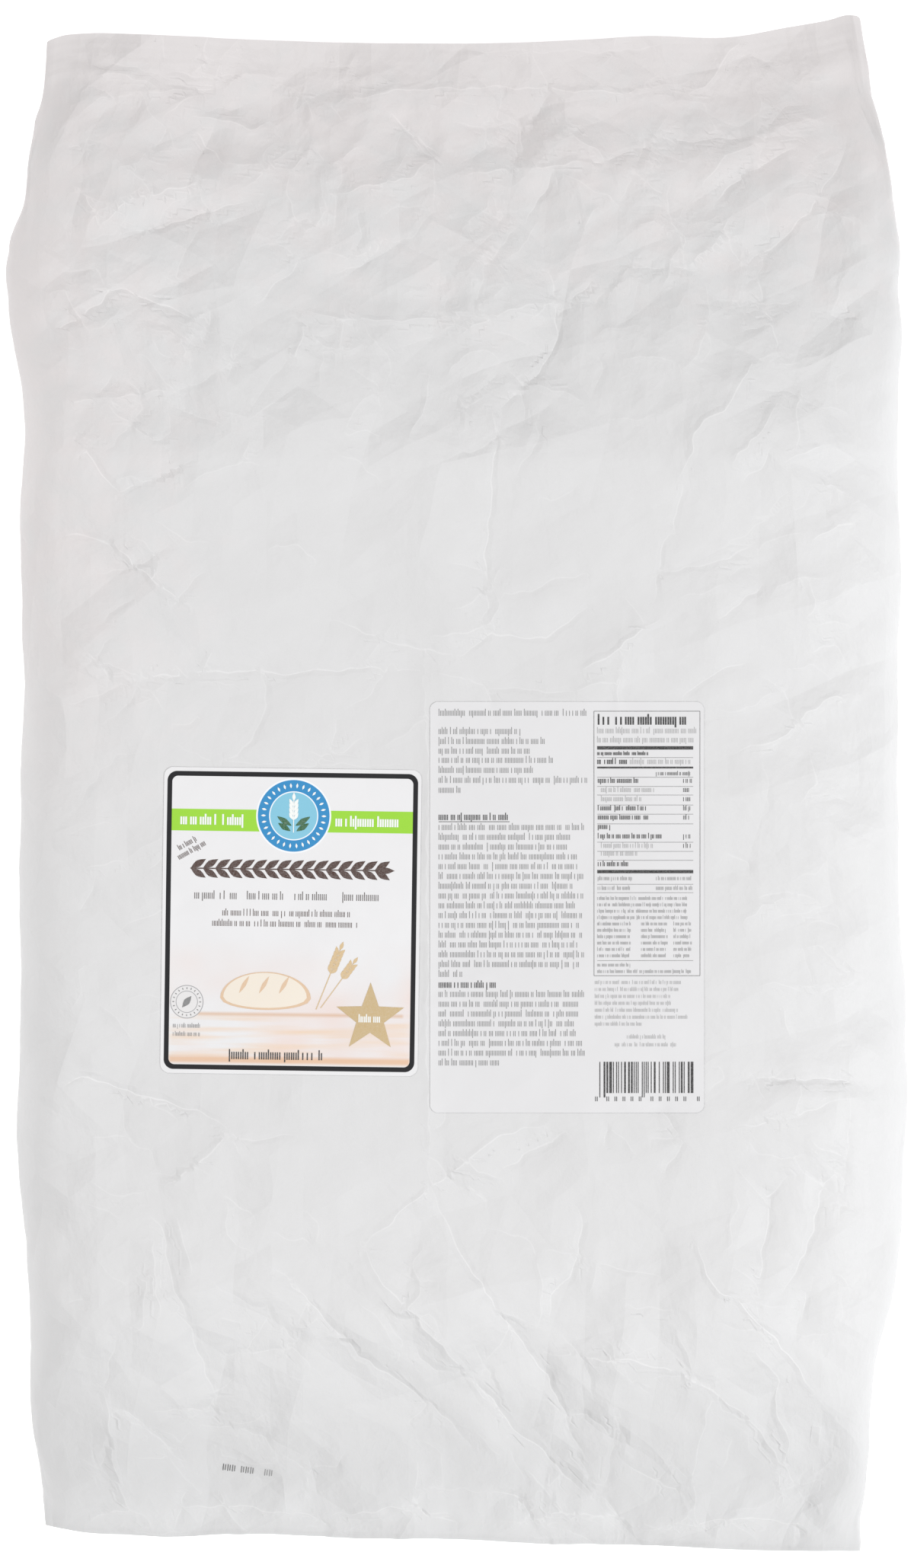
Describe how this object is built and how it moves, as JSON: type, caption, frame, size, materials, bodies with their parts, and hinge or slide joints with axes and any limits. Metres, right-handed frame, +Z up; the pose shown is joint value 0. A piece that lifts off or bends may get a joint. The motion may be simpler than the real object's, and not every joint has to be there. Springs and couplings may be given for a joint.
{
  "type": "bag of flour",
  "caption": "Filled white paper sack of flour lying on its back, with a pressed top hem, a bottom seam, tucked side gussets and stuck labels on its creased front.",
  "frame": {"origin": "middle of the sack's box in plan, on the flat underside that it lies on", "axes": "+Z up out of the labelled front, +Y along the sack towards its top hem, +X across it to the reader's right"},
  "size_m": [0.34, 0.588, 0.118],
  "materials": {
    "sack_paper": "matt bleached kraft paper, creased",
    "front_label_paper": "semi-gloss printed label stock",
    "info_label_paper": "smooth white thermal label stock",
    "print": "printed ink"
  },
  "bodies": {
    "root": {"sack": "sack_paper", "front_label": "front_label_paper", "info_label": "info_label_paper"}
  },
  "joints": []
}
